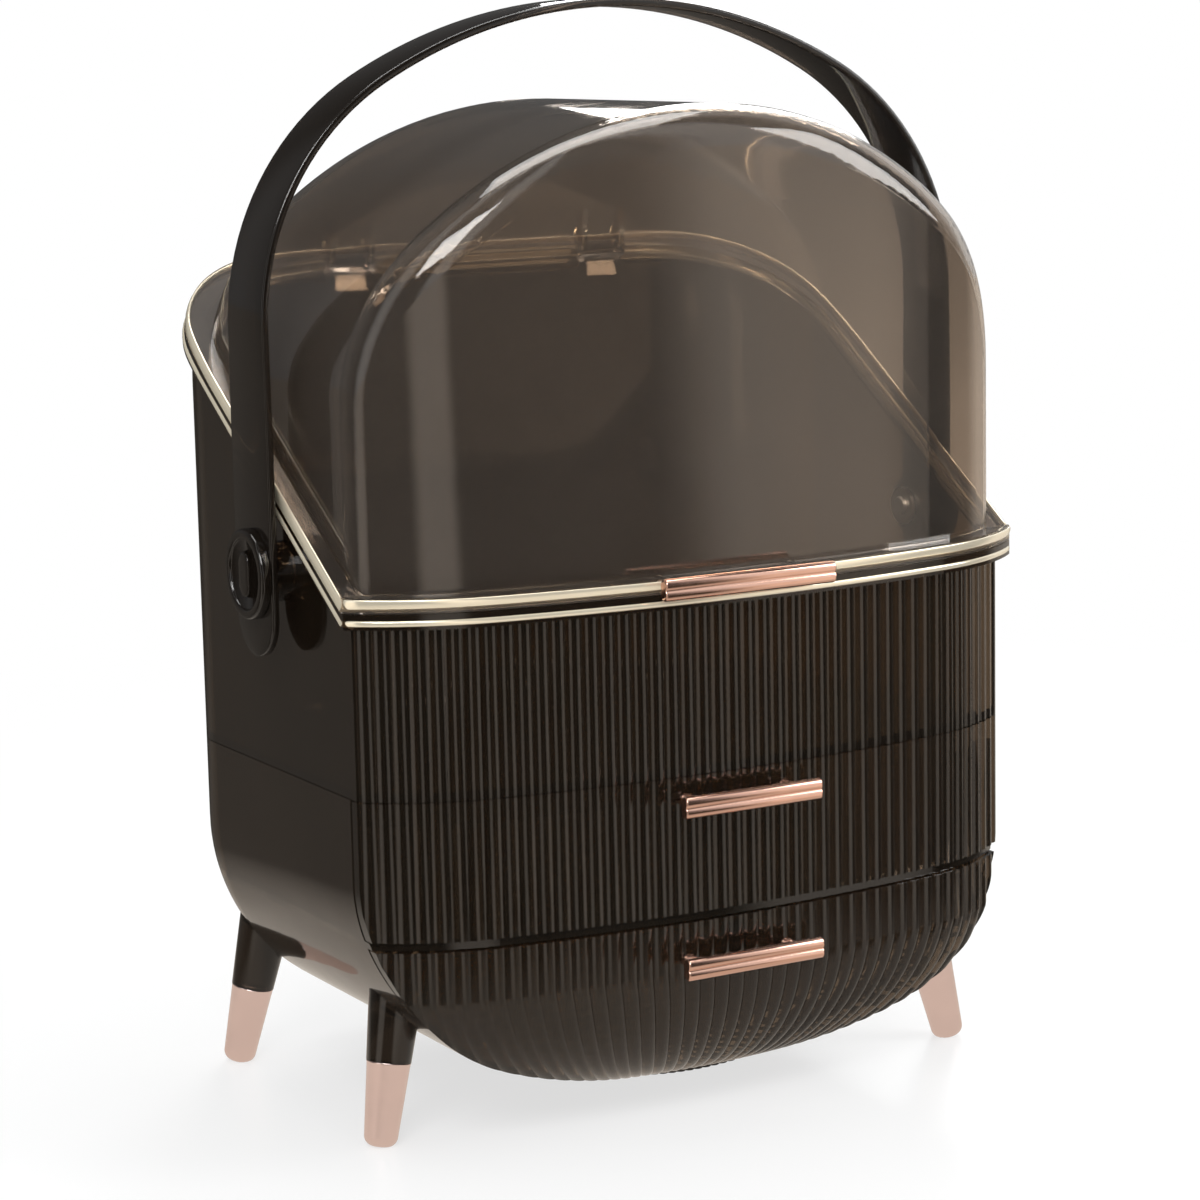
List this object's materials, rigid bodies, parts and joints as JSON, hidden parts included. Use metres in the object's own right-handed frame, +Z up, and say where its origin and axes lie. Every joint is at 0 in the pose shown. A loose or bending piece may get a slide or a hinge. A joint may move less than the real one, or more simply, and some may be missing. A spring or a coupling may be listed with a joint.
{
  "type": "dustproof makeup organizer",
  "caption": "Free-standing makeup box with a bowed reeded front, two pull-out drawers, an open bin under a hinged clear lid, a folding carry handle and splayed metal-tipped legs",
  "frame": {"origin": "on the floor, under the centre of the whole object's box", "axes": "+X to the object's right as seen from its front's side, +Y to its back, +Z up; the drawers face -Y"},
  "size_m": [0.333, 0.2322, 0.446],
  "materials": {
    "smoke_body": "glossy, smoke tinted, slightly translucent",
    "smoke_clear": "glossy, clear, light smoke tint",
    "rose_gold": "polished rose gold plating",
    "steel": "satin"
  },
  "bodies": {
    "case": {"lower_case": "smoke_body", "leg_front_left": "smoke_body", "leg_front_right": "smoke_body", "leg_back_left": "smoke_body", "leg_back_right": "smoke_body", "leg_tip_front_left": "rose_gold", "leg_tip_front_right": "rose_gold", "leg_tip_back_left": "rose_gold", "leg_tip_back_right": "rose_gold", "bin": "smoke_body", "bin_screw_1": "steel", "bin_screw_2": "steel", "bin_screw_3": "steel"},
    "lid": {"lid": "smoke_clear", "lid_bar": "rose_gold", "lid_bar_screw_left": "steel", "lid_bar_screw_right": "steel", "hinge_pin_left": "steel", "hinge_pin_right": "steel"},
    "handle": {"carry_handle": "smoke_body", "pivot_cap_left": "smoke_body", "pivot_cap_right": "smoke_body", "pivot_screw_left": "steel", "pivot_screw_right": "steel"},
    "upper_drawer": {"upper_drawer_front": "smoke_body", "upper_drawer_tray": "smoke_body", "upper_drawer_bar": "rose_gold", "upper_drawer_bar_screw_left": "steel", "upper_drawer_bar_screw_right": "steel"},
    "lower_drawer": {"lower_drawer_front": "smoke_body", "lower_drawer_tray": "smoke_body", "lower_drawer_bar": "rose_gold", "lower_drawer_bar_screw_left": "steel", "lower_drawer_bar_screw_right": "steel"}
  },
  "joints": [
    {"name": "lid_open", "type": "hinge", "parent": "case", "child": "lid", "pos_m": [0, 0.11264, 0.33696], "axis": [-1, 0, 0], "range_deg": [0, 84]},
    {"name": "handle_fold", "type": "hinge", "parent": "case", "child": "handle", "pos_m": [0, -0.00536, 0.226], "axis": [-1, 0, 0], "range_deg": [0, 126]},
    {"name": "upper_drawer_slide", "type": "slide", "parent": "case", "child": "upper_drawer", "axis": [0, -1, 0], "range_m": [0, 0.12]},
    {"name": "lower_drawer_slide", "type": "slide", "parent": "case", "child": "lower_drawer", "axis": [0, -1, 0], "range_m": [0, 0.12]}
  ],
  "couplings": [
    {"joint": "handle_fold", "follows": "lid_open", "ratio": 1.5}
  ]
}
